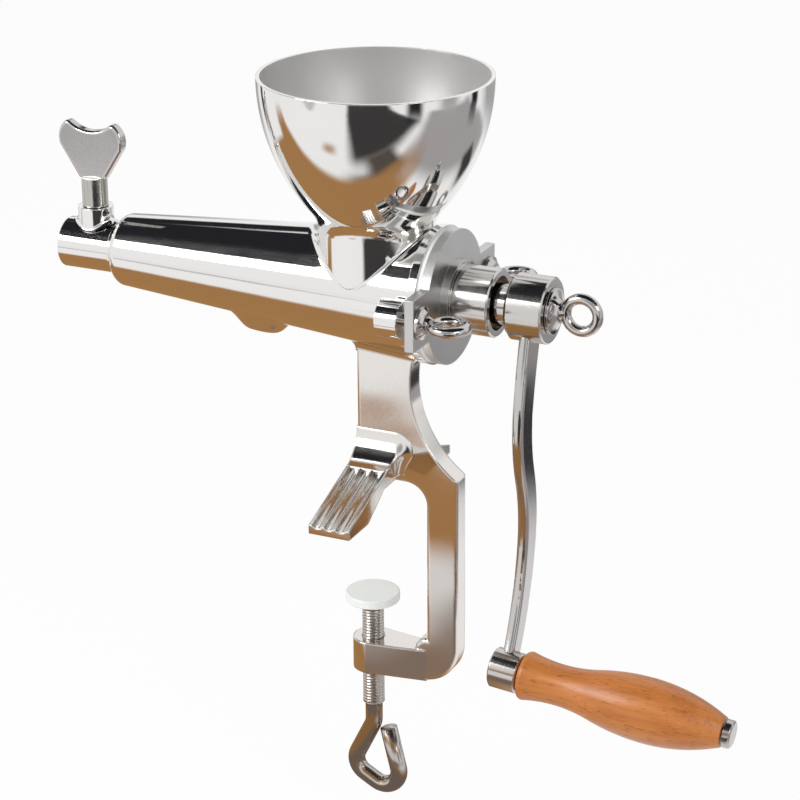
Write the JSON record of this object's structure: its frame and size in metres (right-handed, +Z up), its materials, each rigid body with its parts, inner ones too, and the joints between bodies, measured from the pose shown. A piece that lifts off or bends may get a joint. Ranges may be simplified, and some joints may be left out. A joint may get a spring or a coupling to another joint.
{
  "type": "hand-cranked table press",
  "caption": "Hand-cranked screw press with a feed hopper, tapered barrel, choked outlet, wooden crank grip and table clamp.",
  "frame": {"origin": "where the clamp screw's axis meets the plane of the toes' soles, which is the table's top face", "axes": "+X along the barrel towards the crank, +Y across to the back, +Z up along the clamp screw"},
  "size_m": [0.3969, 0.127, 0.4085],
  "materials": {
    "polished_steel": "mirror polished",
    "brushed_steel": "brushed",
    "plated_steel": "bright plated",
    "satin_cover": "satin",
    "bronze": "turned",
    "white_plastic": "satin",
    "varnished_wood": "clear varnish"
  },
  "bodies": {
    "frame": {"hopper": "polished_steel", "barrel": "polished_steel", "barrel_flange": "polished_steel", "cover_bolt_bosses": "polished_steel", "outlet_nozzle": "polished_steel", "choke_boss": "polished_steel", "juice_drain": "polished_steel", "strainer": "brushed_steel", "cover_gasket": "white_plastic", "end_cover": "satin_cover", "bearing_housing": "brushed_steel", "shaft_bush": "bronze", "thrust_washer": "bronze", "clamp_frame": "polished_steel"},
    "crank": {"press_screw": "brushed_steel", "crank_boss": "brushed_steel", "crank_arm": "polished_steel", "grip_boss": "brushed_steel", "grip_pin": "plated_steel"},
    "grip": {"wood_grip": "varnished_wood"},
    "crank_washer": {"crank_bolt_washer": "polished_steel"},
    "crank_eye": {"crank_bolt": "polished_steel"},
    "front_washer": {"front_bolt_washer": "polished_steel"},
    "front_eye": {"front_cover_bolt": "polished_steel"},
    "back_washer": {"back_bolt_washer": "polished_steel"},
    "back_eye": {"back_cover_bolt": "polished_steel"},
    "pad": {"clamp_pad": "white_plastic"},
    "screw": {"clamp_screw": "plated_steel"},
    "choke": {"choke_screw": "plated_steel", "choke_wing": "polished_steel"}
  },
  "joints": [
    {"name": "crank_turn", "type": "hinge", "parent": "frame", "child": "crank", "pos_m": [0.09105, 0, 0.1155], "axis": [1, 0, 0], "continuous": true},
    {"name": "grip_spin", "type": "hinge", "parent": "crank", "child": "grip", "pos_m": [0.09105, -0.02838, -0.07439], "axis": [0.9969, -0.0116, -0.0776], "continuous": true},
    {"name": "clamp_slide", "type": "slide", "parent": "frame", "child": "pad", "axis": [0, 0, 1], "range_m": [-0.02, 0.028]},
    {"name": "clamp_turn", "type": "hinge", "parent": "pad", "child": "screw", "pos_m": [0, 0, -0.1], "axis": [0, 0, 1], "range_deg": [-4100, 5750]},
    {"name": "choke_turn", "type": "hinge", "parent": "frame", "child": "choke", "pos_m": [-0.163, 0, 0.1155], "axis": [0, 0, 1], "range_deg": [-360, 360]},
    {"name": "crank_eye_slide", "type": "slide", "parent": "crank", "child": "crank_washer", "axis": [1, 0, 0], "range_m": [0, 0.008]},
    {"name": "crank_eye_turn", "type": "hinge", "parent": "crank_washer", "child": "crank_eye", "pos_m": [0.1012, 0, 0.1155], "axis": [1, 0, 0], "range_deg": [0, 2310]},
    {"name": "front_eye_slide", "type": "slide", "parent": "frame", "child": "front_washer", "axis": [1, 0, 0], "range_m": [0, 0.008]},
    {"name": "front_eye_turn", "type": "hinge", "parent": "front_washer", "child": "front_eye", "pos_m": [0.0482, -0.043, 0.1155], "axis": [1, 0, 0], "range_deg": [0, 2310]},
    {"name": "back_eye_slide", "type": "slide", "parent": "frame", "child": "back_washer", "axis": [1, 0, 0], "range_m": [0, 0.008]},
    {"name": "back_eye_turn", "type": "hinge", "parent": "back_washer", "child": "back_eye", "pos_m": [0.0482, 0.043, 0.1155], "axis": [1, 0, 0], "range_deg": [0, 2310]}
  ],
  "couplings": [
    {"joint": "clamp_slide", "follows": "clamp_turn", "m_per_rad": 0.00027852},
    {"joint": "crank_eye_turn", "follows": "crank_eye_slide", "rad_per_m": 5026.5},
    {"joint": "front_eye_turn", "follows": "front_eye_slide", "rad_per_m": 5026.5},
    {"joint": "back_eye_turn", "follows": "back_eye_slide", "rad_per_m": 5026.5}
  ]
}
